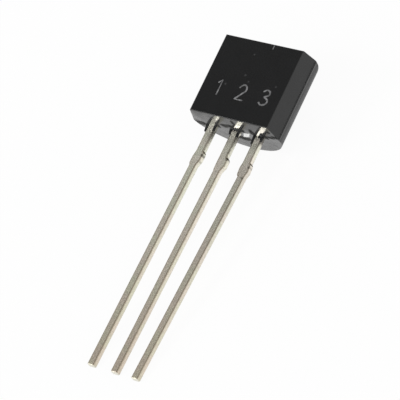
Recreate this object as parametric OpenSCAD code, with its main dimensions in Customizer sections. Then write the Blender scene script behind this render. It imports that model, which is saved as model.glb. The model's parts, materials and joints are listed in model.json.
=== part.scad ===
// Small-signal transistor in a TO-92 moulded case, with three stamped leads.
// It lies at rest on the rim of its round back and on its three lead tips, flat side up.
//
// Every piece is drawn in the case's own frame: X across the leads, Y along the leads with the case
// above Y = 0 and the leads below it, Z from the round back (0) up to the flat. settled() then tips
// that frame onto the ground and centres the part over the origin.

/* [Moulded case] */
// Diameter of the round back
case_w = 5.15; // [4.4:0.05:5.4]
// Length of the case along the leads
case_l = 4.45; // [4.2:0.05:5.3]
// Depth from the flat to the round back
case_d = 3.2; // [3.1:0.05:4]
// Width of the flat
flat_w = 4.55; // [3.6:0.05:4.7]
// Depth of the mould's parting line below the flat
parting_depth = 1; // [0.9:0.05:1.3]
// Draft angle of the end faces on both sides of the parting line
end_draft = 4; // [1:0.5:6]
// Size of the broken edges round the flat
flat_break = 0.03; // [0.02:0.01:0.12]
// Size of the broken edges round the ends of the round back
rim_break = 0.06; // [0.03:0.01:0.15]
// Step at the parting line, where the rear half of the mould is a little wider
parting_step = 0.06; // [0.01:0.01:0.1]

/* [Moulding marks] */
// Diameter of the ejector pin's mark on the round back
ejector_d = 1.5; // [1:0.1:2]
// Depth of the ejector pin's mark
ejector_depth = 0.16; // [0.13:0.01:0.25]
// Width of the broken-off gate on the far end
gate_w = 0.8; // [0.4:0.1:1.2]
// Thickness of the broken-off gate
gate_t = 0.25; // [0.15:0.05:0.4]
// Height of the broken-off gate
gate_rise = 0.05; // [0.03:0.01:0.08]

/* [Leads] */
// Distance between neighbouring leads where they leave the case
lead_pitch = 1.38; // [1.2:0.01:1.4]
// Length of the leads outside the case
lead_l = 13.3; // [10:0.1:15]
// Width of a lead
lead_w = 0.39; // [0.33:0.01:0.5]
// Thickness of the stamped strip
strip_t = 0.33; // [0.3:0.01:0.5]
// Width of the neck between the case and the dam bar
neck_w = 0.43; // [0.38:0.01:0.55]
// Length of the neck outside the case
neck_l = 1.5; // [1:0.1:2.5]
// Length of the sheared dam bar stub on each lead
stub_l = 0.75; // [0.5:0.05:1]
// How far the stub stands out past the neck on each side
stub_out = 0.06; // [0.03:0.01:0.12]
// Length of the slope at one end of each side of a stub, where the bar tore
stub_slope = 0.3; // [0.1:0.05:0.35]
// Size of the rolled corner at the other end, where the bar was sheared
stub_roll = 0.03; // [0.02:0.01:0.08]
// How far the emitter's stub was cut off centre, to the right
emitter_cut = 0.02; // [-0.03:0.01:0.05]
// How far the base's stub was cut off centre, to the right
base_cut = 0.05; // [-0.03:0.01:0.05]
// How far the collector's stub was cut off centre, to the right
collector_cut = -0.01; // [-0.03:0.01:0.05]
// Sideways jog of the emitter lead at its stub, to the left
emitter_jog = 0.03; // [-0.1:0.01:0.2]
// Sideways jog of the base lead at its stub, to the left
base_jog = -0.01; // [-0.1:0.01:0.2]
// Sideways jog of the collector lead at its stub, to the left
collector_jog = -0.05; // [-0.1:0.01:0.2]
// How far the emitter lead's tip lies to the left of its exit
emitter_lean = 0.29; // [0:0.01:0.8]
// How far the base lead's tip lies to the left of its exit
base_lean = 0.28; // [0:0.01:0.8]
// How far the collector lead's tip lies to the left of its exit
collector_lean = 0.46; // [0:0.01:0.8]

/* [Lead frame inside the case] */
// Gap between stamped pieces of the frame
frame_gap = 0.3; // [0.2:0.01:0.35]
// How far the base post stands inside the case
base_post_y = 0.85; // [0.75:0.05:1]
// Height of the base post's bonding pad
base_pad_h = 0.55; // [0.4:0.05:0.6]
// Width of the base post's bonding pad
base_pad_w = 1; // [0.8:0.05:1.1]
// Height of the emitter post's bonding pad
emitter_pad_h = 1.1; // [0.8:0.05:1.2]
// Width of the collector's die paddle
paddle_w = 2.2; // [2:0.05:2.3]
// Height of the collector's die paddle
paddle_h = 1.5; // [1.2:0.05:1.8]
// How far the outer pads stand out past their necks
pad_out = 0.2; // [0.1:0.01:0.25]
// Distance of the locking notches from the case's lead end
lock_y = 0.35; // [0.3:0.01:0.4]
// Length of a locking notch along the lead
lock_l = 0.2; // [0.15:0.01:0.3]
// Depth of a locking notch
lock_depth = 0.08; // [0.05:0.01:0.1]

/* [Die and bond wires] */
// Side of the square silicon die
die_w = 0.46; // [0.36:0.01:0.55]
// Thickness of the die
die_t = 0.2; // [0.15:0.01:0.25]
// Distance of the die from the paddle's left and lower edges
die_margin = 0.4; // [0.2:0.05:0.5]
// Distance of the two bonding spots from the die's centre
spot_offset = 0.1; // [0.08:0.01:0.12]
// Diameter of the bond wire
wire_d = 0.03; // [0.025:0.005:0.05]
// Diameter of the ball bond on the die
ball_d = 0.08; // [0.07:0.01:0.12]
// Height of the wire's loop above its two bonds
wire_loop = 0.3; // [0.2:0.01:0.35]

/* [Hidden] */
$fn = 96;
past = 1; // how far a cutting shape runs past what it cuts

case_r = case_w / 2;
parting_z = case_d - parting_depth;
corner_x = sqrt(case_r * case_r - pow(parting_z - case_r, 2)); // half width at the parting line
side_flare = 0.1; // the least by which each side flat widens from the flat to the parting line
flat_half = min(flat_w / 2, corner_x - parting_step - side_flare);
flat_rise = (parting_depth - flat_break) * tan(end_draft); // slope of an end face up to the flat
back_rise = parting_z * tan(end_draft); // slope of an end face down to the round back

strip_z = parting_z - strip_t; // the strip lies in the rear half of the mould
stub_start = neck_l;
stub_end = neck_l + stub_l;

// the die paddle stands over the base post, and its left edge sets the emitter post's right edge
paddle_right = lead_pitch + neck_w / 2 + pad_out;
paddle_left = paddle_right - paddle_w;
paddle_y = base_post_y + base_pad_h + frame_gap;
emitter_pad_left = -lead_pitch - neck_w / 2 - pad_out;
emitter_pad_right = paddle_left - frame_gap;

die_x = paddle_left + die_margin + die_w / 2;
die_y = paddle_y + die_margin + die_w / 2;
die_top = parting_z + die_t;
emitter_spot = [die_x - spot_offset, die_y + spot_offset, die_top];
base_spot = [die_x + spot_offset, die_y - spot_offset, die_top];
emitter_stitch = [(emitter_pad_left + emitter_pad_right) / 2, paddle_y + emitter_pad_h / 2, parting_z];
base_stitch = [0, base_post_y + base_pad_h / 2, parting_z];
wire_sides = 8;
wire_rings = 16;

// where the broken rim of the lead end meets the lowest line of the round back
rim_h = (parting_z * (1 - cos(end_draft)) + rim_break * cos(end_draft))
        / (cos(end_draft) - sin(end_draft));
rim_y = (parting_z - rim_break + rim_h) * sin(end_draft) + rim_h * cos(end_draft);
// the furthest corner of the other end, at the upper edge of its broken rim
far_y = case_l - (parting_z - rim_break) * sin(end_draft);
far_z = parting_z - (parting_z - rim_break) * cos(end_draft);

// the rim and the lower edges of the three tips touch the ground together
rest_tilt = atan(strip_z / (lead_l + rim_y));
rest_z = -rim_y * sin(rest_tilt);
tip_reach = -lead_l * cos(rest_tilt) - parting_z * sin(rest_tilt);
far_reach = far_y * cos(rest_tilt) - far_z * sin(rest_tilt);
rest_y = -(tip_reach + far_reach) / 2;

// Tips the case's frame onto the ground and centres the part.
module settled() {
  translate([0, rest_y, rest_z])
    rotate([rest_tilt, 0, 0])
      children();
}

// The D-shaped section: round back, two side flats that flare to the parting line, and the flat.
module case_section() {
  intersection() {
    translate([0, case_r])
      circle(r = case_r);
    polygon([
      [-case_w, -past], [case_w, -past],
      [case_w, parting_z], [corner_x - parting_step, parting_z],
      [flat_half, case_d - flat_break], [flat_half - flat_break, case_d],
      [-flat_half + flat_break, case_d], [-flat_half, case_d - flat_break],
      [-corner_x + parting_step, parting_z], [-case_w, parting_z]
    ]);
  }
}

// The side view, with the draft of both mould halves on the two end faces.
module case_side() {
  polygon([
    [flat_rise + flat_break, case_d], [flat_rise, case_d - flat_break],
    [0, parting_z], [back_rise, 0], [back_rise, -past],
    [case_l - back_rise, -past], [case_l - back_rise, 0], [case_l, parting_z],
    [case_l - flat_rise, case_d - flat_break], [case_l - flat_rise - flat_break, case_d]
  ]);
}

// A cone square to the drafted end face, which breaks the edge of the round back there.
module rim_cone() {
  translate([0, 0, parting_z])
    rotate([-90 - end_draft, 0, 0])
      translate([0, parting_z - case_r, -past])
        cylinder(h = case_l + 2 * past, r1 = case_r - rim_break - past,
                 r2 = case_r - rim_break + case_l + past);
}

module case_blank() {
  intersection() {
    translate([0, case_l, 0])
      rotate([90, 0, 0])
        linear_extrude(case_l)
          case_section();
    translate([-case_w, 0, 0])
      rotate([90, 0, 90])
        linear_extrude(2 * case_w)
          case_side();
    rim_cone();
    translate([0, case_l, 0])
      mirror([0, 1, 0])
        rim_cone();
  }
}

module ejector_mark() {
  translate([0, case_l / 2, -past])
    cylinder(h = past + ejector_depth, d = ejector_d);
}

module gate_stub() {
  translate([-gate_w / 2, case_l - gate_t, parting_z - gate_t])
    cube([gate_w, gate_t + gate_rise, gate_t]);
}

// Half of a lead's outline outside the case, from the tip up. side is -1 for left and 1 for right.
// A stub slopes at its upper end on the left and at its lower end on the right.
function lead_edge(x, jog, lean, cut, side) =
  let (out = side * (neck_w / 2 + stub_out) + cut,
       lower = side < 0 ? stub_roll : stub_slope,
       upper = side < 0 ? stub_slope : stub_roll)
  [
    [x - lean + side * lead_w / 2, -lead_l],
    [x - jog + side * lead_w / 2, -stub_end],
    [x - jog + out, -stub_end + lower],
    [x - jog / 2 + out, -stub_start - upper],
    [x + side * neck_w / 2, -stub_start]
  ];

function reversed(points) = [for (i = [len(points) - 1:-1:0]) points[i]];

// Half of a lead's neck inside the case, with the notch that locks it in the moulding.
function neck_edge(x, top, side) = [
  [x + side * neck_w / 2, lock_y],
  [x + side * (neck_w / 2 - lock_depth), lock_y],
  [x + side * (neck_w / 2 - lock_depth), lock_y + lock_l],
  [x + side * neck_w / 2, lock_y + lock_l],
  [x + side * neck_w / 2, top]
];

// One stamped lead up to the height top, as a flat outline.
module lead_outline(x, jog, lean, cut, top) {
  polygon(concat(
    lead_edge(x, jog, lean, cut, 1), neck_edge(x, top, 1),
    reversed(neck_edge(x, top, -1)), reversed(lead_edge(x, jog, lean, cut, -1))
  ));
}

module pad(left, right, low, high) {
  translate([left, low])
    square([right - left, high - low]);
}

module stamped() {
  translate([0, 0, strip_z])
    linear_extrude(strip_t)
      children();
}

module emitter_strip() {
  stamped() {
    lead_outline(-lead_pitch, emitter_jog, emitter_lean, emitter_cut, paddle_y);
    pad(emitter_pad_left, emitter_pad_right, paddle_y, paddle_y + emitter_pad_h);
  }
}

module base_strip() {
  stamped() {
    lead_outline(0, base_jog, base_lean, base_cut, base_post_y);
    pad(-base_pad_w / 2, base_pad_w / 2, base_post_y, base_post_y + base_pad_h);
  }
}

module collector_strip() {
  stamped() {
    lead_outline(lead_pitch, collector_jog, collector_lean, collector_cut, paddle_y);
    pad(paddle_left, paddle_right, paddle_y, paddle_y + paddle_h);
  }
}

module die() {
  translate([die_x - die_w / 2, die_y - die_w / 2, parting_z])
    cube([die_w, die_w, die_t]);
}

// Centre line of a bond wire from its ball to its stitch: square to both at its ends, looped between.
function wire_point(from, to, s) =
  from + (to - from) * (1 - cos(180 * s)) / 2 + [0, 0, wire_loop * sin(180 * s)];
function wire_heading(from, to, s) =
  (to - from) * sin(180 * s) / 2 + [0, 0, wire_loop * cos(180 * s)];
function unit(v) = v / norm(v);

// One ring of the wire, square to its heading. across is the level direction square to the wire.
function wire_ring(from, to, i, across) =
  let (s = i / wire_rings,
       centre = wire_point(from, to, s),
       up = cross(unit(wire_heading(from, to, s)), across),
       r = (i <= 1 ? ball_d : wire_d) / 2)
  [for (k = [0:wire_sides - 1])
     centre + r * (cos(360 * k / wire_sides) * across + sin(360 * k / wire_sides) * up)];

module bond_wire(from, to) {
  across = unit([from[1] - to[1], to[0] - from[0], 0]);
  rings = [for (i = [0:wire_rings]) wire_ring(from, to, i, across)];
  last = wire_rings * wire_sides;
  points = [for (ring = rings) each ring];
  sides = [for (i = [0:wire_rings - 1], k = [0:wire_sides - 1])
             let (a = i * wire_sides + k, b = i * wire_sides + (k + 1) % wire_sides)
             each [[a, a + wire_sides, b], [b, a + wire_sides, b + wire_sides]]];
  start_cap = [for (k = [0:wire_sides - 1]) k];
  end_cap = [for (k = [wire_sides - 1:-1:0]) last + k];
  polyhedron(points = points, faces = concat([start_cap, end_cap], sides));
}

// The epoxy is moulded round everything that it holds.
module moulded_case() {
  color([0.07, 0.07, 0.075])
    settled()
      difference() {
        union() {
          case_blank();
          gate_stub();
        }
        ejector_mark();
        emitter_strip();
        base_strip();
        collector_strip();
        die();
        bond_wire(emitter_spot, emitter_stitch);
        bond_wire(base_spot, base_stitch);
      }
}

module emitter_lead() {
  color([0.66, 0.65, 0.62])
    settled()
      emitter_strip();
}

module base_lead() {
  color([0.66, 0.65, 0.62])
    settled()
      base_strip();
}

module collector_lead() {
  color([0.66, 0.65, 0.62])
    settled()
      collector_strip();
}

module silicon_die() {
  color([0.25, 0.27, 0.32])
    settled()
      die();
}

module emitter_bond_wire() {
  color([0.85, 0.68, 0.25])
    settled()
      bond_wire(emitter_spot, emitter_stitch);
}

module base_bond_wire() {
  color([0.85, 0.68, 0.25])
    settled()
      bond_wire(base_spot, base_stitch);
}

moulded_case();
emitter_lead();
base_lead();
collector_lead();
silicon_die();
emitter_bond_wire();
base_bond_wire();
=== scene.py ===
"""A small-signal transistor in a moulded case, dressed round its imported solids."""

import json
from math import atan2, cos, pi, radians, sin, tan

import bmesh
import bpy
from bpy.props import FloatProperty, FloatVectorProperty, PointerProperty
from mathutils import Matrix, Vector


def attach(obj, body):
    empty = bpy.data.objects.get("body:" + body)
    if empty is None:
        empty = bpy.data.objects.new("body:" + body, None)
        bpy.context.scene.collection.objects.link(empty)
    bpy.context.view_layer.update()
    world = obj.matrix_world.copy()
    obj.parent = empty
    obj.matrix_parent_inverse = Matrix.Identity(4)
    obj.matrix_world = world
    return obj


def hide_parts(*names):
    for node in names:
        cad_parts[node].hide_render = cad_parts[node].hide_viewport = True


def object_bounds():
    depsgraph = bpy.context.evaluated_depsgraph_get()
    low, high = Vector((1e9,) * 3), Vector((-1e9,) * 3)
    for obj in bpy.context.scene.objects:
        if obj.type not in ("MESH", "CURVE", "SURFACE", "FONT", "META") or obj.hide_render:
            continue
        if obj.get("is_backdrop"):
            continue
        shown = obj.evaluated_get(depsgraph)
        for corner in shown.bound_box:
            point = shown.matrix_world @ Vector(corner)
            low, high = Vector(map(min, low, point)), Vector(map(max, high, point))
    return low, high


bl_info = {
    "name": "Moulded transistor",
    "version": (1, 0, 0),
    "blender": (4, 5, 0),
    "location": "View3D > Sidebar > Transistor",
    "description": "Moulded case, tinned leads, die and bond wires of a small transistor",
    "category": "Object",
}

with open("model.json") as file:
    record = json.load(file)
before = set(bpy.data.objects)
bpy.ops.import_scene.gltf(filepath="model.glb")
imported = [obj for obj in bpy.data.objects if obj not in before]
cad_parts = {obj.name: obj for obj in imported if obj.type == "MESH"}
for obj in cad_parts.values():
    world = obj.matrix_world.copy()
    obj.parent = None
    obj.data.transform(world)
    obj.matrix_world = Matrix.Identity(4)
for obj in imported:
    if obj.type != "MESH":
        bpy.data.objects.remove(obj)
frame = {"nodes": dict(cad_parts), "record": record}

MM = 0.001
BODY = "root"

# The flat's centre and normal give the case's own frame, in which X runs across the leads,
# Y along them and Z out of the flat. Finishes and marks are laid out in it, in millimetres.
FLAT = next(m for m in frame["record"]["mounts"] if m["name"] == "front_flat")
FLAT_CENTRE = Vector(FLAT["pos_m"])
TILT = atan2(-FLAT["axis"][1], FLAT["axis"][2])
ON_FLAT = Matrix.Translation(FLAT_CENTRE) @ Matrix.Rotation(TILT, 4, "X")
CASE_FRAME = ON_FLAT @ Matrix.Scale(MM, 4)
TO_CASE_FRAME = CASE_FRAME.inverted()

LEADS = {"emitter": "emitter_lead", "base": "base_lead", "collector": "collector_lead"}


def case_points(node):
    """The corners of a node in the case's frame."""
    return [TO_CASE_FRAME @ v.co for v in frame["nodes"][node].data.vertices]


# The case's reach to the side and its lead end, the two faces of the stamped strip, and the tips.
CASE = case_points("moulded_case")
ROUND = max(p.x for p in CASE)
END = min(p.y for p in CASE)
STRIP = case_points("base_lead")
STRIP_FRONT = max(p.z for p in STRIP)
STRIP_BACK = min(p.z for p in STRIP)
TIP = min(p.y for p in STRIP)
# The cavities round the lead frame and the wires lie inside these limits, with a little room.
ROOM, SIDE_ROOM = 0.01, 0.07
CAVITY_HALF = max(p.x for p in case_points("collector_lead")) + SIDE_ROOM
CAVITY_TOP = max(p.z for p in case_points("emitter_bond_wire")) + ROOM
CAVITY_BOTTOM = STRIP_BACK - ROOM
# How far the drafted end faces lean inward for each millimetre from the parting line.
DRAFT = radians(4)
END_SLOPE = tan(DRAFT)
# How far a lead's neck runs outside the lead end and inside it, and how far its exit reaches out.
NECK_OUT, NECK_IN, EXIT_OUT = 1.6, 0.4, 0.1


def neck_places(node, outside):
    """Where the corners of a lead's neck lie across the case, as far out as is given."""
    return [p.x for p in case_points(node) if END - outside < p.y < END + NECK_IN]


def lead_exit(node):
    """Where the middle of a lead leaves the case, across it."""
    near = neck_places(node, NECK_OUT)
    return (min(near) + max(near)) / 2


NECK_HALF = max(neck_places("base_lead", EXIT_OUT))


class CaseSettings(bpy.types.PropertyGroup):
    """Finish of the moulded case."""
    colour: FloatVectorProperty(
        name="Epoxy", description="Colour of the moulded epoxy", subtype="COLOR", size=3,
        default=(0.005, 0.0052, 0.0055), min=0, max=1)
    flat_roughness: FloatProperty(
        name="Flat roughness", description="Roughness of the flat and the sides", default=0.3,
        min=0, max=1, subtype="FACTOR")
    end_roughness: FloatProperty(
        name="End roughness", description="Roughness of the two polished end faces", default=0.08,
        min=0, max=1, subtype="FACTOR")
    back_roughness: FloatProperty(
        name="Back roughness", description="Roughness of the round back", default=0.5,
        min=0, max=1, subtype="FACTOR")
    edge_radius: FloatProperty(
        name="Edge radius", description="Rounding of the mould's edges", default=0.01 * MM,
        unit="LENGTH")
    step_radius: FloatProperty(
        name="Parting step radius", description="Rounding of the small step at the parting line",
        default=0.012 * MM, unit="LENGTH")


class LeadSettings(bpy.types.PropertyGroup):
    """Finish of the stamped leads."""
    # The tin's colour by the case, painted lighter than at the tips as light on the necks.
    colour: FloatVectorProperty(
        name="Tin", description="Colour of the tin plating by the case", subtype="COLOR", size=3,
        default=(0.98, 0.96, 0.84), min=0, max=1)
    tip_colour: FloatVectorProperty(
        name="Tin at tips", description="Colour of the tin plating at the tips", subtype="COLOR",
        size=3, default=(0.6, 0.535, 0.4), min=0, max=1)
    # The painted shade along the stamped corners.
    corner_colour: FloatVectorProperty(
        name="Tarnish", description="Colour of the tarnish along the stamped corners",
        subtype="COLOR", size=3, default=(0.27, 0.225, 0.165), min=0, max=1)
    roughness: FloatProperty(
        name="Roughness", description="Roughness of the tin plating", default=0.42,
        min=0, max=1, subtype="FACTOR")
    neck_roughness: FloatProperty(
        name="Neck roughness", description="Roughness of the plating by the case", default=0.18,
        min=0, max=1, subtype="FACTOR")
    edge_radius: FloatProperty(
        name="Edge radius", description="Rounding of the stamped edges under the plating",
        default=0.078 * MM, unit="LENGTH")


class FigureSettings(bpy.types.PropertyGroup):
    """The pin numbers marked on the flat."""
    height: FloatProperty(
        name="Height", description="Height of a figure", default=0.82 * MM, unit="LENGTH")
    row: FloatProperty(
        name="Row", description="How far the row of figures lies below the flat's middle",
        default=0.67 * MM, unit="LENGTH")
    stroke: FloatProperty(
        name="Stroke", description="Width of a marked line", default=0.085 * MM, unit="LENGTH")
    rise: FloatProperty(
        name="Rise", description="How far the marked lines stand out of the flat",
        default=0.003 * MM, unit="LENGTH")
    colour: FloatVectorProperty(
        name="Mark", description="Colour of the marked epoxy", subtype="COLOR", size=3,
        default=(0.235, 0.235, 0.24), min=0, max=1)


class StageSettings(bpy.types.PropertyGroup):
    """Camera, lamps, floor and surroundings."""
    azimuth: FloatProperty(
        name="Azimuth", description="Direction of the camera round the part",
        default=radians(54.966), subtype="ANGLE")
    elevation: FloatProperty(
        name="Elevation", description="Height of the camera above the horizon",
        default=radians(48.05), subtype="ANGLE")
    roll: FloatProperty(
        name="Roll", description="Turn of the camera about its view", default=radians(31.856),
        subtype="ANGLE")
    distance: FloatProperty(
        name="Distance", description="Distance of the camera from what it looks at",
        default=119.031 * MM, unit="LENGTH")
    aim: FloatVectorProperty(
        name="Aim", description="Point that the camera looks at, from the middle of the part",
        default=(0.123 * MM, 0.256 * MM, 0.041 * MM), subtype="TRANSLATION", unit="LENGTH", size=3)
    lens: FloatProperty(
        name="Lens", description="Focal length of the camera", default=225.0, unit="CAMERA")
    floor_colour: FloatVectorProperty(
        name="Floor", description="Colour of the floor", subtype="COLOR", size=3,
        default=(0.95, 0.95, 0.95), min=0, max=1)
    floor_white: FloatProperty(
        name="Floor white", description="How far the floor is lifted to plain white where seen",
        default=0.93, min=0, max=1, subtype="FACTOR")
    tent: FloatProperty(
        name="Tent", description="Brightness of the white tent all round", default=1.1)
    card: FloatProperty(
        name="Card", description="Brightness of the grey card that the flat mirrors",
        default=0.245)
    card_spread: FloatProperty(
        name="Card spread", description="Half angle of the grey card", default=radians(30),
        subtype="ANGLE")
    flag: FloatProperty(
        name="Flag", description="Brightness of the flag that the leads' edges mirror",
        default=0.3)
    flag_spread: FloatProperty(
        name="Flag spread", description="Half angle of the flag", default=radians(22),
        subtype="ANGLE")
    key: FloatProperty(
        name="Key lamp", description="Brightness of the soft lamp's face", default=11.0)
    key_size: FloatProperty(
        name="Key size", description="Diameter of the key lamp", default=75 * MM, unit="LENGTH")


def settings(name):
    """The scene's settings of one group."""
    return getattr(bpy.context.scene, "transistor_" + name)


class Shader:
    """The node tree of one finish, round its Principled BSDF."""

    def __init__(self, name):
        self.material = bpy.data.materials.new(name)
        self.material.use_nodes = True
        self.tree = self.material.node_tree
        self.bsdf = self.tree.nodes["Principled BSDF"]

    def add(self, kind, inputs=None, **options):
        """Adds a node. An input is given a value or linked to another node's output."""
        node = self.tree.nodes.new("ShaderNode" + kind)
        for option, value in options.items():
            setattr(node, option, value)
        for socket, value in (inputs or {}).items():
            self.feed(node.inputs[socket], value)
        return node

    def feed(self, socket, value):
        """Gives an input a value, or links it to another node's output."""
        if isinstance(value, bpy.types.NodeSocket):
            self.tree.links.new(value, socket)
        else:
            socket.default_value = value

    def finish(self, **inputs):
        """Feeds the Principled BSDF and hands over the finished material."""
        for socket, value in inputs.items():
            self.feed(self.bsdf.inputs[socket.replace("_", " ")], value)
        return self.material

    def place(self):
        """The point's place in the case's frame, in millimetres."""
        source = self.add("TexCoord").outputs["Object"]
        turned = self.add("Mapping", {"Vector": source, "Location": FLAT_CENTRE,
                                      "Rotation": (TILT, 0, 0), "Scale": (MM, MM, MM)},
                          vector_type="TEXTURE")
        return turned.outputs["Vector"]

    def axes(self, vector):
        """A vector's three parts, by their letters."""
        return self.add("SeparateXYZ", {"Vector": vector}).outputs

    def stretch(self, place, scale):
        return self.add("VectorMath", {0: place, 1: scale}, operation="MULTIPLY").outputs[0]

    def distance(self, place, point):
        return self.add("VectorMath", {0: place, 1: point}, operation="DISTANCE").outputs["Value"]

    def noise(self, place, scale, detail=2.0, roughness=0.5):
        node = self.add("TexNoise", {"Vector": place, "Scale": scale, "Detail": detail,
                                     "Roughness": roughness})
        return node.outputs["Fac"]

    def math(self, operation, a, b=0.0):
        return self.add("Math", {0: a, 1: b}, operation=operation).outputs[0]

    def product(self, first, *others):
        """Multiplies numbers, one after another."""
        for other in others:
            first = self.math("MULTIPLY", first, other)
        return first

    def off(self, value, middle):
        """How far a value lies from a middle, either way."""
        return self.math("ABSOLUTE", self.math("SUBTRACT", value, middle))

    def remap(self, value, low, high, to_low=0.0, to_high=1.0):
        """Runs evenly from one number at low to another at high, and stays there beyond them."""
        node = self.add("MapRange", {"Value": value, "From Min": low, "From Max": high,
                                     "To Min": to_low, "To Max": to_high})
        return node.outputs["Result"]

    def fade(self, value, full, none):
        """One on the near side of full, and nothing on the far side of none."""
        return self.remap(value, full, none, 1.0, 0.0)

    def mix(self, share, a, b):
        """Blends two colours."""
        node = self.add("Mix", {"Factor": share}, data_type="RGBA")
        self.feed(node.inputs[6], colour4(a))
        self.feed(node.inputs[7], colour4(b))
        return node.outputs[2]

    def blend(self, share, a, b):
        """Blends two numbers."""
        node = self.add("Mix", {"Factor": share}, data_type="FLOAT")
        self.feed(node.inputs[2], a)
        self.feed(node.inputs[3], b)
        return node.outputs[0]

    def bump(self, height, strength, distance, below=None):
        """A bumped normal, on top of another one if it is given."""
        inputs = {"Height": height, "Strength": strength, "Distance": distance}
        if below is not None:
            inputs["Normal"] = below
        return self.add("Bump", inputs).outputs["Normal"]


def colour4(colour):
    """A colour with its alpha, or the output that gives one."""
    if isinstance(colour, bpy.types.NodeSocket):
        return colour
    return (*colour, 1.0)


def tinted(colour, factor):
    """A colour made darker or lighter."""
    return tuple(min(1.0, c * factor) for c in colour)


def minus(place, distances):
    """A place less each of some distances."""
    return [place - distance for distance in distances]


# The flat's light specks: place across and along it, and size. Then how light they are, and their
# soft edge as shares of the size.
SPECKS = [(-0.23, 1.41, 0.05), (-0.18, 0.25, 0.06), (-1.02, -0.42, 0.06), (0.15, -0.05, 0.05),
          (-1.27, -0.46, 0.04), (1.46, -1.03, 0.05), (1.72, 0.0, 0.05)]
SPECK_LIGHT = 0.16
SPECK_EDGE = (0.4, 1.3)
SPECK_COLOUR = (0.24, 0.24, 0.25)
# Faint flecks of filler all over, in rare groups: how densely they lie, their soft edge and how
# light they are.
FLECK_SCALE = 4.2
FLECK_EDGE = (0.05, 0.1)
FLECK_GROUPS = (0.6, 0.66)
FLECK_LIGHT = 0.05
# The short nick in the flat's far edge: place across and along it, half width and half length.
# Then how light it is, its soft edges as shares of the halves, and where it ends below the flat.
NICK = (0.605, 2.0, 0.035, 0.14)
NICK_LIGHT = 0.7
NICK_EDGES = (0.5, 0.7)
NICK_FOOT = (-0.2, -0.1)


def flat_marks(shader, place, axes):
    """How much lighter the flat's filler specks and its nick are than the epoxy round them."""
    cells = shader.add("TexVoronoi", {"Vector": place, "Scale": FLECK_SCALE, "Randomness": 1.0})
    fleck = shader.fade(cells.outputs["Distance"], *FLECK_EDGE)
    rare = shader.remap(shader.noise(place, scale=2.3), *FLECK_GROUPS)
    light = shader.product(fleck, rare, FLECK_LIGHT)
    inner, outer = SPECK_EDGE
    for x, y, size in SPECKS:
        off = shader.distance(place, (x, y, 0))
        speck = shader.remap(off, inner * size, outer * size, SPECK_LIGHT, 0.0)
        light = shader.math("MAXIMUM", light, speck)
    across, along, half_width, half_length = NICK
    width_edge, length_edge = NICK_EDGES
    beside = shader.fade(shader.off(axes["X"], across), width_edge * half_width, half_width)
    beyond = shader.fade(shader.off(axes["Y"], along), length_edge * half_length, half_length)
    nick = shader.product(beside, beyond, shader.remap(axes["Z"], *NICK_FOOT), NICK_LIGHT)
    return shader.math("MAXIMUM", light, nick)


# A painted highlight between the base and the collector on the lead end, made as a pale shiny
# patch of metal, across and up: one corner and its two sides. Then its soft edge as shares of a
# side from the middle, how far inside the lead end it may lie, and how much of it the grain leaves
# covered.
GLINT_CORNER = (0.31, -1.26)
GLINT_ALONG = (0.49, 0.2)
GLINT_DOWN = (-0.32, -0.6)
GLINT_EDGE = (0.4, 0.52)
GLINT_IN, GLINT_GONE = 0.2, 0.25
GLINT_GRAIN = (0.3, 0.5)
GLINT_COVER = (0.82, 1.0)
# The painted highlight's pale colour, how metallic it is, and how rough.
GLINT_COLOUR = (0.85, 0.85, 0.84)
GLINT_METAL = 0.85
GLINT_ROUGHNESS = 0.3


def scrape_mark(shader, axes, grain, ragged):
    """Where the painted highlight lies on the lead end: a slanted patch with ragged sides."""
    (x, z), (ax, az), (dx, dz) = GLINT_CORNER, GLINT_ALONG, GLINT_DOWN
    area = ax * dz - az * dx
    right = shader.math("SUBTRACT", axes["X"], x)
    up = shader.math("SUBTRACT", axes["Z"], z)
    along = shader.math("SUBTRACT", shader.math("MULTIPLY", right, dz / area),
                        shader.math("MULTIPLY", up, dx / area))
    down = shader.math("SUBTRACT", shader.math("MULTIPLY", up, ax / area),
                       shader.math("MULTIPLY", right, az / area))
    sides = [shader.fade(shader.math("ADD", shader.off(side, 0.5), ragged), *GLINT_EDGE)
             for side in (along, down)]
    at_lead_end = shader.fade(axes["Y"], END + GLINT_IN, END + GLINT_GONE)
    glint = shader.product(*sides, at_lead_end)
    return shader.math("MULTIPLY", glint, shader.remap(grain, *GLINT_GRAIN, *GLINT_COVER))


# How far inside an end face its finish starts and is full, and how far outside it fades and ends.
END_FINISH_IN = (0.03, 0.015)
END_FINISH_FADES, END_FINISH_ENDS = 0.01, 0.02


def end_faces(shader, axes):
    """Where the two leaning end faces are, without the flash and the stub that stand on them."""
    depth = shader.off(axes["Z"], STRIP_FRONT)
    inset = shader.math("ADD", shader.math("ABSOLUTE", axes["Y"]),
                        shader.math("MULTIPLY", depth, END_SLOPE))
    inside = shader.remap(inset, *minus(-END, END_FINISH_IN))
    outside = shader.fade(inset, -END + END_FINISH_FADES, -END + END_FINISH_ENDS)
    return shader.math("MULTIPLY", inside, outside)


# How much paler the rim of the parting line is painted, as a highlight of the step's edge. It
# starts a little above the line, fades out below it, and starts a little inside the case's widest
# place.
RIM_HIGHLIGHT = 0.05
RIM_TOP = (-0.03, -0.01)
RIM_FOOT = (0.06, 0.16)
RIM_INSET = (0.1, 0.07)
# How much paler the drawn lines of the round back are, where they start below the parting line,
# and which of the noise they take.
BACK_LINES = 0.02
BACK_LINES_START = (0.0, 0.02)
BACK_LINES_RANGE = (0.45, 0.6)
# The colour of the rim's painted highlight and of the back's drawn lines.
RIM_AND_LINES_COLOUR = (1.0, 1.0, 1.0)


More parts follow.
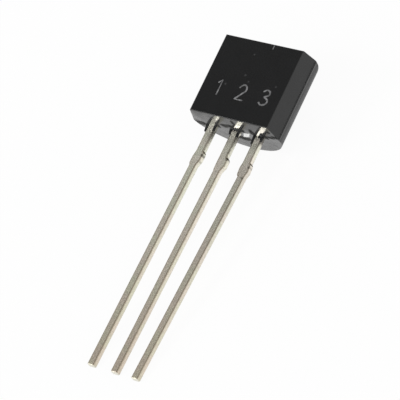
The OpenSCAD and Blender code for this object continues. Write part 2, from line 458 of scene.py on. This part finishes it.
def pale_places(shader, place, axes):
    """How much paler the parting line's rim, a painted highlight, and the back's drawn lines are.
    """
    below = shader.math("SUBTRACT", STRIP_FRONT, axes["Z"])
    outermost = shader.remap(shader.math("ABSOLUTE", axes["X"]), *minus(ROUND, RIM_INSET))
    # The rim's painted highlight.
    rubbed = shader.product(shader.remap(below, *RIM_TOP), shader.fade(below, *RIM_FOOT),
                            outermost, RIM_HIGHLIGHT)
    drawn = shader.noise(shader.stretch(place, (0.0, 0.5, 7.0)), scale=1.6)
    drawn = shader.product(shader.remap(drawn, *BACK_LINES_RANGE, 0.0, BACK_LINES),
                           shader.remap(below, *BACK_LINES_START))
    return shader.math("MAXIMUM", rubbed, drawn)


# How dusty the lead end is where it is cleanest and where it is dustiest, from which to which
# place across it the dust thins out and to what, and how dusty the far end is. On the lead end
# this pale dust is partly painted sheen, the heavier towards the left.
LEAD_END_DUST_SHEEN = (0.01, 0.075)
DUST_SHEEN_LEFT, DUST_SHEEN_RIGHT, DUST_SHEEN_LEAST = -2.0, 1.0, 0.2
FAR_END_DUST = 0.012
DUST_SHEEN_COLOUR = (1.0, 0.97, 0.92)
# Which part of the noise the patches of the end faces take, from clean to the most pale dust
# and painted sheen.
CLEAN, DUST_SHEEN_FULL = 0.38, 0.64


def dust(shader, axes, patchy, lead_end):
    """How much pale dust, on the lead end partly painted sheen, the end faces have."""
    dust_sheen = shader.product(shader.remap(patchy, CLEAN, DUST_SHEEN_FULL, *LEAD_END_DUST_SHEEN),
                           shader.remap(axes["X"], DUST_SHEEN_RIGHT, DUST_SHEEN_LEFT, DUST_SHEEN_LEAST, 1.0))
    return shader.blend(lead_end, FAR_END_DUST, dust_sheen)


# How much rougher than polished the end faces are where they are patchy, and how much more towards
# the round back, from where to where behind the parting line.
POLISH_LOSS = (0.02, 0.13)
LOW_POLISH_LOSS = 0.1
LOW_START = (0.3, 0.9)
# Dull smudges on the lead end: place across and up, half width and half height. Then how rough
# they are, their soft edge as shares of the halves, and how ragged it is.
SMUDGES = [(-0.6, -0.86, 0.25, 0.16), (-0.24, -0.77, 0.26, 0.16), (2.12, -0.47, 0.14, 0.12),
           (2.02, -0.98, 0.26, 0.12), (-2.13, -1.2, 0.42, 0.28), (0.0, -1.95, 0.5, 0.3),
           (1.0, -0.9, 0.16, 0.3), (0.1, -0.32, 0.1, 0.2), (0.36, -0.95, 0.2, 0.22),
           (1.72, -1.08, 0.16, 0.25), (-1.06, -1.0, 0.12, 0.3), (2.36, -0.85, 0.26, 0.12)]
SMUDGE_ROUGHNESS = 0.9
SMUDGE_EDGE = (0.6, 1.2)
SMUDGE_RAGGEDNESS = 1.6


def haze(shader, place, axes, patchy, ragged, lead_end):
    """How much rougher than polished the end faces are, most of all at the lead end's smudges."""
    lower = shader.remap(axes["Z"], *minus(STRIP_FRONT, LOW_START), 0.0, LOW_POLISH_LOSS)
    hazy = shader.math("ADD", shader.remap(patchy, DUST_SHEEN_FULL, CLEAN, *POLISH_LOSS), lower)
    ragged = shader.math("MULTIPLY", ragged, SMUDGE_RAGGEDNESS)
    for x, z, wide, high in SMUDGES:
        off = shader.distance(shader.stretch(place, (1 / wide, 0, 1 / high)),
                              (x / wide, 0, z / high))
        smudge = shader.remap(shader.math("ADD", off, ragged), *SMUDGE_EDGE, SMUDGE_ROUGHNESS, 0.0)
        hazy = shader.math("MAXIMUM", hazy, shader.math("MULTIPLY", smudge, lead_end))
    return hazy


# The epoxy is darker and lighter by these factors in clouds, and its skin rougher and smoother by
# this much in grains. How ragged the edges of marks are, as a share of their size.
EPOXY_TONES = (0.8, 1.2)
EPOXY_CLOUDS = (0.3, 0.7)
EPOXY_GRAIN = 0.07
RAGGEDNESS = 0.45
# Where behind the front of the strip the round back's finish is full and fades out.
BACK_FINISH = (0.05, 0.03)


def epoxy_finish(case):
    """Black moulding compound: dull flat and sides, polished ends, specks, a nick, and painted
    highlights on the parting line's rim and on the lead end.
    """
    shader = Shader("black_epoxy")
    place = shader.place()
    axes = shader.axes(place)
    cloud = shader.noise(place, scale=1.1, detail=3.0)
    grain = shader.noise(place, scale=17.0, roughness=0.6)
    patchy = shader.noise(shader.stretch(place, (1.0, 1.0, 1.5)), scale=2.4, detail=4.0,
                          roughness=0.65)
    ragged = shader.noise(place, scale=8.0, detail=3.0)
    ragged = shader.math("MULTIPLY", shader.math("SUBTRACT", ragged, 0.5), RAGGEDNESS)
    at_end = end_faces(shader, axes)
    lead_end = shader.math("LESS_THAN", axes["Y"], 0.0)
    glint = scrape_mark(shader, axes, grain, ragged)

    dark, light = (tinted(case.colour, tone) for tone in EPOXY_TONES)
    colour = shader.mix(shader.remap(cloud, *EPOXY_CLOUDS), dark, light)
    colour = shader.mix(flat_marks(shader, place, axes), colour, SPECK_COLOUR)
    # The rim's painted highlight at the parting line, and the back's drawn lines.
    pale = shader.math("MULTIPLY", pale_places(shader, place, axes),
                       shader.math("SUBTRACT", 1.0, at_end))
    colour = shader.mix(pale, colour, RIM_AND_LINES_COLOUR)
    # Pale dust on the end faces, on the lead end partly painted sheen.
    dust_sheen = shader.math("MULTIPLY", dust(shader, axes, patchy, lead_end), at_end)
    colour = shader.mix(dust_sheen, colour, DUST_SHEEN_COLOUR)
    # The painted highlight on the lead end, a pale shiny patch.
    colour = shader.mix(glint, colour, GLINT_COLOUR)

    behind = shader.fade(axes["Z"], *minus(STRIP_FRONT, BACK_FINISH))
    skin = shader.blend(behind, case.flat_roughness, case.back_roughness)
    dull = shader.math("ADD", skin, shader.remap(grain, 0.0, 1.0, -EPOXY_GRAIN, EPOXY_GRAIN))
    polished = shader.math("ADD", case.end_roughness,
                           haze(shader, place, axes, patchy, ragged, lead_end))
    roughness = shader.math("MAXIMUM", shader.blend(at_end, dull, polished),
                            shader.math("MULTIPLY", glint, GLINT_ROUGHNESS))
    fine = shader.bump(shader.noise(place, scale=30.0), strength=0.12, distance=0.01 * MM)
    normal = shader.bump(cloud, strength=0.25, distance=0.02 * MM, below=fine)
    metal = shader.math("MULTIPLY", glint, GLINT_METAL)
    return shader.finish(Base_Color=colour, Metallic=metal, Roughness=roughness, Normal=normal)


# Greener and pinker patches of the tin: their colours, how strongly they tint it, which of the
# noise they take, and how far the balance leans to pink.
GREEN_TIN = (0.71, 0.75, 0.58)
PINK_TIN = (0.8, 0.68, 0.62)
TIN_TINT, TIN_PATCHES = 0.5, 0.75
TINT_RANGE = (0.38, 0.62)
PINK_LEAN = 0.25
# How far the emitter's lead leans back to green, and where that fades out across the case.
GREEN_LEAN = -0.6
EMITTER_TO_BASE = (-1.2, -0.4)
# Painted shade along the stamped corners, which face neither forwards nor sideways, standing in
# for the dark line their rounding shows: its share by the case and further out, how far out each
# is, and how far sideways the corners start and stop facing.
CORNER_SHADE = (0.5, 0.85)
CORNER_SHADE_REACH = (0.3, 2.0)
CORNER_START = (0.04, 0.16)
CORNER_STOP = (0.75, 0.95)
# The freshly cut tips: their colour, and how far from the tip it starts and is full.
CUT_TIN = (0.78, 0.76, 0.67)
CUT_START, CUT_FULL = 0.06, 0.03


def plating_colour(shader, place, axes, down, leads):
    """Tin's colour: lighter by the case as painted light on the necks, warmer towards the tips,
    patchy, with painted shade along the corners, and paler where cut.
    """
    lean = shader.math("MULTIPLY", shader.remap(axes["X"], *EMITTER_TO_BASE, GREEN_LEAN, 0.0),
                       shader.math("SUBTRACT", 1.0, down))
    tint = shader.remap(shader.noise(place, scale=1.3, detail=1.0), *TINT_RANGE)
    tint = shader.math("ADD", shader.math("ADD", tint, lean), PINK_LEAN)
    # Lighter by the case than at the tips; the lightness by the case is painted light on the
    # necks.
    plating = shader.mix(down, leads.colour, leads.tip_colour)
    green, pink = (shader.mix(TIN_TINT, plating, colour) for colour in (GREEN_TIN, PINK_TIN))
    plating = shader.mix(TIN_PATCHES, plating, shader.mix(tint, green, pink))
    facing = shader.axes(shader.add("NewGeometry").outputs["Normal"])
    sideways = shader.math("ABSOLUTE", facing["X"])
    # Painted shade along the stamped corners.
    corner_shade = shader.product(shader.remap(sideways, *CORNER_START),
                             shader.fade(sideways, *CORNER_STOP),
                             shader.remap(axes["Y"], *minus(END, CORNER_SHADE_REACH), *CORNER_SHADE))
    plating = shader.mix(corner_shade, plating, leads.corner_colour)
    cut = shader.remap(axes["Y"], TIP + CUT_START, TIP + CUT_FULL)
    return shader.mix(cut, plating, CUT_TIN)


# The tin is worn darker and lighter by these factors, with the noise that it takes.
TIN_TONES = (0.88, 1.13)
TIN_SHADES = (0.4, 0.6)
# How much darker the collector's shank is, where that starts across and along the leads, and from
# which to which share of the way to the tip it fades out.
SHANK_SHADE = 0.2
BASE_TO_COLLECTOR = (0.4, 0.7)
SHANK_REACH = (1.2, 2.2)
SHANK_FADE = (0.0, 0.8)
# Dents left on the lead fronts where the tie bar was cut, painted as a spot of shade where the
# tone is below one and as a glint where it is above: place across and along, size and tone. Then
# the share of the size that has the full tone.
DENT_SHADING = [(-1.14, -3.92, 0.1, 0.4), (-1.16, -3.76, 0.07, 1.2), (-1.1, -4.27, 0.08, 0.65),
         (0.27, -3.8, 0.1, 0.45), (0.29, -3.64, 0.08, 1.2), (0.16, -3.45, 0.07, 0.65),
         (1.62, -3.94, 0.09, 0.5), (1.53, -4.55, 0.09, 0.5), (1.56, -4.41, 0.07, 1.2)]
DENT_SHADING_CORE = 0.5


def plating_wear(shader, place, axes, shade, down):
    """How much darker or lighter the tin is worn, with the collector's shank and the dents'
    painted shade and glints.
    """
    worn_and_shaded = shader.remap(shade, *TIN_SHADES, *TIN_TONES)
    shank = shader.product(shader.remap(axes["X"], *BASE_TO_COLLECTOR),
                           shader.remap(axes["Y"], *minus(END, SHANK_REACH)),
                           shader.remap(down, *SHANK_FADE, SHANK_SHADE, 0.0))
    worn_and_shaded = shader.math("MULTIPLY", worn_and_shaded, shader.math("SUBTRACT", 1.0, shank))
    front = shader.stretch(place, (1.0, 1.0, 0.0))
    # The dents' painted shade and glints.
    for x, y, size, tone in DENT_SHADING:
        off = shader.distance(front, (x, y, 0))
        dent_shading = shader.remap(off, DENT_SHADING_CORE * size, size, tone, 1.0)
        worn_and_shaded = shader.math("MULTIPLY", worn_and_shaded, dent_shading)
    return worn_and_shaded


# How far outside the case the bright necks begin to turn dull, and have turned.
NECK_REACH = (0.15, 0.9)
# The emitter's lead, which lies left of this place, is rubbed dull on its left side and, close to
# the case, on its front: how rough, and from where to where.
EMITTER_RIGHT = -1.0
RUBBED_ROUGHNESS = 0.42
RUBBED_SIDE = (-1.38, -1.3)
RUBBED_REACH = (0.26, 0.2)
# How much smoother and rougher the tin's grit makes it, with the noise that it takes.
GRIT_ROUGHNESS = (-0.07, 0.1)
GRIT_RANGE = (0.3, 0.7)


def plating_roughness(shader, axes, grit, leads):
    """How rough the tin is: smooth on the necks, duller further out and where it is rubbed."""
    dull = shader.remap(axes["Y"], *minus(END, NECK_REACH), leads.neck_roughness, leads.roughness)
    side = shader.remap(axes["X"], *RUBBED_SIDE, RUBBED_ROUGHNESS, 0.0)
    near = shader.remap(axes["Y"], *minus(END, RUBBED_REACH), 0.0, RUBBED_ROUGHNESS)
    front = shader.math("MULTIPLY", near, shader.math("LESS_THAN", axes["X"], EMITTER_RIGHT))
    dull = shader.math("MAXIMUM", dull, shader.math("MAXIMUM", side, front))
    return shader.math("ADD", dull, shader.remap(grit, *GRIT_RANGE, *GRIT_ROUGHNESS))


# How strong the tin's relief is by the case and further out, and how far out that is.
TIN_RELIEF = (0.15, 0.28)
RELIEF_REACH = 3.0


def tin_finish(leads):
    """Tin plating over a rolled strip: bright by the case, where its colour is painted lighter as
    light on the necks, duller and warmer towards the tips.
    """
    shader = Shader("tin_plating")
    place = shader.place()
    axes = shader.axes(place)
    rolled = shader.noise(shader.stretch(place, (1.0, 0.5, 1.0)), scale=12.0, detail=3.0,
                          roughness=0.7)
    grit = shader.noise(place, scale=19.0, roughness=0.6)
    shade = shader.math("ADD", shader.math("MULTIPLY", rolled, 0.5),
                        shader.math("MULTIPLY", grit, 0.5))
    down = shader.remap(axes["Y"], END, TIP)
    plating = plating_colour(shader, place, axes, down, leads)
    worn_and_shaded = plating_wear(shader, place, axes, shade, down)
    colour = shader.add("VectorMath", {0: plating, "Scale": worn_and_shaded}, operation="SCALE").outputs[0]
    roughness = plating_roughness(shader, axes, grit, leads)
    relief = shader.remap(axes["Y"], END, END - RELIEF_REACH, *TIN_RELIEF)
    normal = shader.bump(shade, strength=relief, distance=0.008 * MM)
    return shader.finish(Base_Color=colour, Metallic=1.0, Roughness=roughness, Normal=normal)


# How dark the marked epoxy is where it is thin, and the noise that it takes from thin to full.
THIN_MARK = 0.35
MARK_RANGE = (0.35, 0.62)


def mark_finish(figures):
    """Epoxy foamed up grey by the marking laser, thin in places."""
    shader = Shader("marked_epoxy")
    place = shader.place()
    patchy = shader.noise(place, scale=5.5, detail=3.0, roughness=0.6)
    colour = shader.mix(shader.remap(patchy, *MARK_RANGE), tinted(figures.colour, THIN_MARK),
                        figures.colour)
    normal = shader.bump(shader.noise(place, scale=30.0), strength=0.4, distance=0.01 * MM)
    return shader.finish(Base_Color=colour, Roughness=0.8, Normal=normal)


# The two ends of the silicon's and of the gold's colours and roughness, and the silicon's clouds.
SILICON_COLOURS = ((0.13, 0.14, 0.18), (0.3, 0.32, 0.37))
SILICON_ROUGHNESS = (0.12, 0.3)
SILICON_CLOUDS = (0.4, 0.6)
GOLD_COLOURS = ((0.82, 0.6, 0.2), (0.95, 0.75, 0.35))
GOLD_ROUGHNESS = (0.18, 0.35)


def silicon_finish():
    """Blue-grey silicon under a cloudy film of metal."""
    shader = Shader("silicon")
    cloud = shader.noise(shader.place(), scale=6.0)
    colour = shader.mix(shader.remap(cloud, *SILICON_CLOUDS), *SILICON_COLOURS)
    roughness = shader.remap(cloud, 0, 1, *SILICON_ROUGHNESS)
    return shader.finish(Base_Color=colour, Metallic=0.6, Roughness=roughness)


def gold_finish():
    """Drawn gold bond wire."""
    shader = Shader("gold_wire")
    drawn = shader.noise(shader.place(), scale=40.0)
    roughness = shader.remap(drawn, 0, 1, *GOLD_ROUGHNESS)
    return shader.finish(Base_Color=shader.mix(drawn, *GOLD_COLOURS), Metallic=1.0,
                         Roughness=roughness)


# Points closer than the weld are one, and faces that meet at less than the level angle are one.
WELD = 0.0005 * MM
LEVEL = radians(0.5)
# Edges sharper than this many degrees are kept sharp, rounded on the leads, and counted as the
# parting line's step.
SHARP, STAMPED, STEP = 35, 30, 18


def node_mesh(node):
    """A copy of a node's mesh as a bmesh, welded, with flat regions as single faces."""
    bm = bmesh.new()
    bm.from_mesh(frame["nodes"][node].data)
    bmesh.ops.remove_doubles(bm, verts=bm.verts, dist=WELD)
    bmesh.ops.dissolve_limit(bm, angle_limit=LEVEL, verts=bm.verts, edges=bm.edges)
    return bm


def bevel(bm, edges, radius, segments):
    """Rounds edges."""
    bmesh.ops.bevel(bm, geom=edges, offset=radius, segments=segments, profile=0.5,
                    affect="EDGES", material=-1, clamp_overlap=False)


def sharp_edges(bm, degrees):
    """The edges whose faces turn by more than an angle."""
    return [e for e in bm.edges if e.is_manifold and e.calc_face_angle() > radians(degrees)]


def make_piece(name, bm, material, node):
    """Turns a bmesh into a piece that stands for a node."""
    mesh = bpy.data.meshes.new(name)
    for face in bm.faces:
        face.smooth = True
    for edge in sharp_edges(bm, SHARP):
        edge.smooth = False
    bm.to_mesh(mesh)
    bm.free()
    piece = bpy.data.objects.new(name, mesh)
    bpy.context.scene.collection.objects.link(piece)
    mesh.materials.append(material)
    even = piece.modifiers.new("even_normals", "WEIGHTED_NORMAL")
    even.keep_sharp = True
    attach(piece, BODY)
    if node:
        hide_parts(node)
    return piece


def on_skin(point):
    """Whether a point of the case lies on its skin, and not in the cavities round the frame."""
    return not (CAVITY_BOTTOM < point.z < CAVITY_TOP and abs(point.x) < CAVITY_HALF)


def middle_of(edge):
    """The middle of an edge in the case's frame."""
    return TO_CASE_FRAME @ ((edge.verts[0].co + edge.verts[1].co) / 2)


# How far above or below the parting line, and inside the case's widest place, an edge of the step
# lies. Then the same for the edges near it, which aren't rounded with the others.
STEP_LIMITS = (0.002, 0.04)
NEAR_STEP_LIMITS = (0.1, 0.15)


def by_parting_rim(point, height, width):
    """Whether a point lies by the outer edge of the step at the parting line, inside limits."""
    return abs(point.z - STRIP_FRONT) < height and abs(point.x) > ROUND - width


# Flash of epoxy at each lead's exit, partly real flash and partly dark epoxy set in place of
# shade:
# a fin on the lead's left for the dark line beside it, and a film over its right edge for the dark
# patch there. How far the fin reaches out along the lead, then the reach of the film and the
# film's width at either end.
FLASH_AND_SHADE = {"emitter": (0.44, 0.33, 0.12, 0.09), "base": (0.3, 0.37, 0.15, 0.12),
         "collector": (0.52, 0.3, 0.25, 0.06)}
# How wide each fin is across the case, what share of that it has at its outer end, how far it
# stands back from the strip's back and front, and how far it runs under the lead's side.
FIN_WIDTHS = {"emitter": 0.16, "base": 0.2, "collector": 0.15}
FIN_TAPER = 0.6
FIN_BACK, FIN_FRONT = 0.02, 0.004
FIN_OVERLAP = 0.01
FILM_THICKNESS = 0.008
FILM_DEPTH = 0.06
# A second, shorter film on two of the fronts, a dark sheet in place of shade where the lead leaves
# the case: how far it reaches, and its width.
COLLARS = {"base": (0.07, 0.43), "collector": (0.16, 0.27)}
COLLAR_THICKNESS = 0.6 * FILM_THICKNESS
COLLAR_DEPTH = 0.05
# How far inside the case all flash and dark sheets are rooted.
EPOXY_BOX_ROOT = 0.05


def add_flash(bm, inner, outer, low, high, reach):
    """Adds a box of epoxy out of the lead end, as flash and as a dark sheet in place of shade.

    Its X range is given at the case and at its outer end, and then its Z range.
    """
    made = bmesh.ops.create_cube(bm, size=1.0)["verts"]
    for vert in made:
        left, right = outer if vert.co.y < 0 else inner
        vert.co = CASE_FRAME @ Vector((right if vert.co.x > 0 else left,
                                       END - reach if vert.co.y < 0 else END + EPOXY_BOX_ROOT,
                                       high if vert.co.z > 0 else low))


def add_exit_flash(bm, lead):
    """Adds the fin, the film and the second film at a lead's exit."""
    fin, film, wide, narrow = FLASH_AND_SHADE[lead]
    left = lead_exit(LEADS[lead]) - NECK_HALF
    right = left + 2 * NECK_HALF
    thick, root = FIN_WIDTHS[lead], left + FIN_OVERLAP
    add_flash(bm, (left - thick, root), (left - FIN_TAPER * thick, root),
              STRIP_BACK + FIN_BACK, STRIP_FRONT - FIN_FRONT, fin)
    film_edge = right + FILM_THICKNESS
    add_flash(bm, (right - wide, film_edge), (right - narrow, film_edge),
              STRIP_FRONT - FILM_DEPTH, STRIP_FRONT + FILM_THICKNESS, film)
    if lead in COLLARS:
        reach, width = COLLARS[lead]
        across = (right - width, right)
        add_flash(bm, across, across, STRIP_FRONT - COLLAR_DEPTH, STRIP_FRONT + COLLAR_THICKNESS,
                  reach)


class TRANSISTOR_OT_case(bpy.types.Operator):
    """Makes the moulded case with its rounded edges"""
    bl_idname = "transistor.case"
    bl_label = "Moulded case"

    def execute(self, context):
        case = settings("case")
        bm = node_mesh("moulded_case")
        step = [e for e in sharp_edges(bm, STEP) if by_parting_rim(middle_of(e), *STEP_LIMITS)]
        bevel(bm, step, case.step_radius, 1)
        chosen = [e for e in sharp_edges(bm, SHARP)
                  if on_skin(middle_of(e)) and not by_parting_rim(middle_of(e), *NEAR_STEP_LIMITS)]
        bevel(bm, chosen, case.edge_radius, 2)
        for lead in LEADS:
            # Flash at each lead's exit, partly dark epoxy set in place of shade.
            add_exit_flash(bm, lead)
        make_piece("epoxy_case", bm, epoxy_finish(case), "moulded_case")
        return {"FINISHED"}


class TRANSISTOR_OT_leads(bpy.types.Operator):
    """Makes the three stamped leads with their plated edges"""
    bl_idname = "transistor.leads"
    bl_label = "Tinned leads"

    def execute(self, context):
        leads = settings("leads")
        finish = tin_finish(leads)
        for name, node in LEADS.items():
            bm = node_mesh(node)
            bevel(bm, sharp_edges(bm, STAMPED), leads.edge_radius, 3)
            make_piece(name + "_pin", bm, finish, node)
        return {"FINISHED"}


class TRANSISTOR_OT_inside(bpy.types.Operator):
    """Gives the silicon die and the bond wires their finishes"""
    bl_idname = "transistor.inside"
    bl_label = "Die and bond wires"

    def execute(self, context):
        gold = gold_finish()
        finishes = {"silicon_die": silicon_finish(), "emitter_bond_wire": gold,
                    "base_bond_wire": gold}
        for node, finish in finishes.items():
            materials = frame["nodes"][node].data.materials
            materials.clear()
            materials.append(finish)
        return {"FINISHED"}


# Pen strokes of each figure, a unit high. A corner stays sharp, and the rest is drawn through.
FIGURES = {
    "1": [[(0.08, 0.78, "corner"), (0.3, 1.0, "corner"), (0.3, 0.0, "corner")]],
    "2": [[(0.02, 0.76, "through"), (0.28, 1.0, "through"), (0.54, 0.74, "through"),
           (0.34, 0.4, "through"), (0.0, 0.0, "corner"), (0.58, 0.0, "corner")]],
    "3": [[(0.03, 0.86, "through"), (0.29, 1.0, "through"), (0.51, 0.77, "through"),
           (0.22, 0.54, "corner"), (0.55, 0.28, "through"), (0.27, 0.0, "through"),
           (0.0, 0.14, "through")]],
}
FIGURE_WELD = 0.0001 * MM


def pen_stroke(curve, points):
    """Adds one pen stroke to a curve, round through its points and sharp at its corners."""
    spline = curve.splines.new("BEZIER")
    spline.bezier_points.add(len(points) - 1)
    for bezier, (x, y, kind) in zip(spline.bezier_points, points):
        bezier.co = (x, y, 0)
        handle = "VECTOR" if kind == "corner" else "AUTO"
        bezier.handle_left_type = handle
        bezier.handle_right_type = handle


def figure_mesh(figure, figures):
    """One figure's round strokes, a unit high, as a mesh."""
    curve = bpy.data.curves.new("figure", "CURVE")
    curve.dimensions = "3D"
    curve.resolution_u = 10
    curve.bevel_depth = figures.stroke / 2 / figures.height
    curve.bevel_resolution = 2
    curve.use_fill_caps = True
    for stroke in FIGURES[figure]:
        pen_stroke(curve, stroke)
    drawn = bpy.data.objects.new("figure", curve)
    bpy.context.scene.collection.objects.link(drawn)
    bpy.context.view_layer.update()
    seen = drawn.evaluated_get(bpy.context.evaluated_depsgraph_get())
    mesh = bpy.data.meshes.new_from_object(seen)
    bpy.data.objects.remove(drawn)
    bpy.data.curves.remove(curve)
    return mesh


class TRANSISTOR_OT_figures(bpy.types.Operator):
    """Marks the pin numbers on the flat, one over each lead"""
    bl_idname = "transistor.figures"
    bl_label = "Pin numbers"

    def execute(self, context):
        figures = settings("figures")
        bm = bmesh.new()
        flatten = Matrix.Diagonal((figures.height, figures.height,
                                   figures.rise / (figures.stroke / 2 / figures.height), 1))
        for number, lead in enumerate(LEADS, start=1):
            mesh = figure_mesh(str(number), figures)
            width = max(v.co.x for v in mesh.vertices)
            x = lead_exit(LEADS[lead]) * MM - width / 2 * figures.height
            place = Matrix.Translation((x, -figures.row - figures.height / 2, 0))
            mesh.transform(ON_FLAT @ place @ flatten)
            bm.from_mesh(mesh)
            bpy.data.meshes.remove(mesh)
        bmesh.ops.remove_doubles(bm, verts=bm.verts, dist=FIGURE_WELD)
        make_piece("pin_numbers", bm, mark_finish(figures), None)
        return {"FINISHED"}


# The direction of the card, which the flat mirrors to the camera, and of the key lamp, which the
# leads' fronts mirror to the lead end and the lead end to the camera.
CARD_DIRECTION = (-0.547, 0.168, 0.82)
KEY_DIRECTION = (-0.547, -0.483, 0.683)
# The direction of the flag, which the front edges of the leads mirror to the camera.
FLAG_DIRECTION = (0.23, 0.18, 0.955)
# How soft the edges of the card and the flag are, as a share of their spread.
SCREEN_EDGE = 0.25
# How far off the key lamp stands, and half the side of the floor, in metres.
KEY_DISTANCE = 0.3
FLOOR_HALF = 3.0


def make_floor(stage):
    """A pale floor that looks white, but for the part's shadow."""
    bm = bmesh.new()
    bmesh.ops.create_grid(bm, x_segments=2, y_segments=2, size=FLOOR_HALF)
    mesh = bpy.data.meshes.new("floor")
    bm.to_mesh(mesh)
    bm.free()
    floor = bpy.data.objects.new("floor", mesh)
    bpy.context.scene.collection.objects.link(floor)
    shader = Shader("pale_floor")
    shader.finish(Base_Color=(*stage.floor_colour, 1.0), Roughness=0.9, Specular_IOR_Level=0.0)
    path = shader.add("LightPath").outputs
    seen = shader.math("MAXIMUM", path["Is Camera Ray"], path["Is Glossy Ray"])
    seen = shader.math("MAXIMUM", seen, path["Is Transmission Ray"])
    white = shader.add("Emission", {"Color": (1, 1, 1, 1), "Strength": 1.0}).outputs[0]
    share = shader.math("MULTIPLY", seen, stage.floor_white)
    surface = shader.add("MixShader", {0: share, 1: shader.bsdf.outputs[0], 2: white}).outputs[0]
    shader.feed(shader.tree.nodes["Material Output"].inputs["Surface"], surface)
    mesh.materials.append(shader.material)
    floor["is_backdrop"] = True


def make_lamp(name, direction, distance, size, brightness):
    """A round soft lamp whose face has the given brightness, turned to the origin."""
    light = bpy.data.lights.new(name, "AREA")
    light.shape = "DISK"
    light.size = size
    light.energy = brightness * pi * pi * (size / 2) ** 2
    lamp = bpy.data.objects.new(name, light)
    bpy.context.scene.collection.objects.link(lamp)
    toward = Vector(direction).normalized()
    lamp.location = toward * distance
    lamp.rotation_euler = toward.to_track_quat("Z", "Y").to_euler()


def make_surroundings(stage):
    """A white tent with a soft grey card where the flat mirrors it and a flag beside it."""
    world = bpy.data.worlds.new("studio")
    bpy.context.scene.world = world
    world.use_nodes = True
    tree = world.node_tree
    background = tree.nodes["Background"]
    source = tree.nodes.new("ShaderNodeTexCoord")
    darkest = tree.nodes.new("ShaderNodeMath")
    darkest.operation = "MINIMUM"
    screens = ((CARD_DIRECTION, stage.card_spread, stage.card),
               (FLAG_DIRECTION, stage.flag_spread, stage.flag))
    for socket, (direction, spread, brightness) in zip(darkest.inputs, screens):
        toward = tree.nodes.new("ShaderNodeVectorMath")
        toward.operation = "DOT_PRODUCT"
        toward.inputs[1].default_value = direction
        fade = tree.nodes.new("ShaderNodeMapRange")
        fade.interpolation_type = "SMOOTHSTEP"
        tree.links.new(source.outputs["Generated"], toward.inputs[0])
        tree.links.new(toward.outputs["Value"], fade.inputs["Value"])
        fade.inputs["From Min"].default_value = cos(spread * (1 + SCREEN_EDGE))
        fade.inputs["From Max"].default_value = cos(spread * (1 - SCREEN_EDGE))
        fade.inputs["To Min"].default_value = stage.tent
        fade.inputs["To Max"].default_value = brightness
        tree.links.new(fade.outputs["Result"], socket)
    tree.links.new(darkest.outputs["Value"], background.inputs["Strength"])
    background.inputs["Color"].default_value = (1, 1, 1, 1)


def make_camera(stage):
    """The camera, aimed near the middle of the part."""
    low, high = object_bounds()
    data = bpy.data.cameras.new("camera")
    data.lens = stage.lens
    data.clip_start = 1 * MM
    camera = bpy.data.objects.new("camera", data)
    bpy.context.scene.collection.objects.link(camera)
    back = Vector((sin(stage.azimuth) * cos(stage.elevation),
                   -cos(stage.azimuth) * cos(stage.elevation), sin(stage.elevation)))
    turn = back.to_track_quat("Z", "Y").to_matrix().to_4x4() @ Matrix.Rotation(-stage.roll, 4, "Z")
    place = (low + high) / 2 + Vector(stage.aim) + back * stage.distance
    camera.matrix_world = Matrix.Translation(place) @ turn
    bpy.context.scene.camera = camera


class TRANSISTOR_OT_stage(bpy.types.Operator):
    """Sets out the floor, the lamps, the surroundings and the camera"""
    bl_idname = "transistor.stage"
    bl_label = "Stage"

    def execute(self, context):
        stage = settings("stage")
        make_floor(stage)
        make_surroundings(stage)
        make_lamp("key", KEY_DIRECTION, KEY_DISTANCE, stage.key_size, stage.key)
        make_camera(stage)
        context.scene.view_settings.view_transform = "Standard"
        return {"FINISHED"}


GROUPS = {"case": CaseSettings, "leads": LeadSettings, "figures": FigureSettings,
          "stage": StageSettings}
OPERATORS = (TRANSISTOR_OT_case, TRANSISTOR_OT_leads, TRANSISTOR_OT_inside,
             TRANSISTOR_OT_figures, TRANSISTOR_OT_stage)


class TRANSISTOR_PT_panel(bpy.types.Panel):
    """Sizes, finishes and making of the transistor"""
    bl_idname = "TRANSISTOR_PT_panel"
    bl_label = "Transistor"
    bl_space_type = "VIEW_3D"
    bl_region_type = "UI"
    bl_category = "Transistor"

    def draw(self, context):
        for name, group in GROUPS.items():
            box = self.layout.box()
            box.label(text=name.capitalize())
            for prop in group.__annotations__:
                box.prop(settings(name), prop)
        for operator in OPERATORS:
            self.layout.operator(operator.bl_idname)


def register():
    """Registers the settings, the operators and the panel."""
    for group in (*GROUPS.values(), *OPERATORS, TRANSISTOR_PT_panel):
        bpy.utils.register_class(group)
    for name, group in GROUPS.items():
        setattr(bpy.types.Scene, "transistor_" + name, PointerProperty(type=group))


def unregister():
    """Takes the settings, the operators and the panel away again."""
    for name in GROUPS:
        delattr(bpy.types.Scene, "transistor_" + name)
    for group in (TRANSISTOR_PT_panel, *reversed(OPERATORS), *GROUPS.values()):
        bpy.utils.unregister_class(group)


def main():
    """Makes the transistor and its stage."""
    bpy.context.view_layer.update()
    register()
    bpy.ops.transistor.case()
    bpy.ops.transistor.leads()
    bpy.ops.transistor.inside()
    bpy.ops.transistor.figures()
    bpy.ops.transistor.stage()


if __name__ == "__main__":
    main()
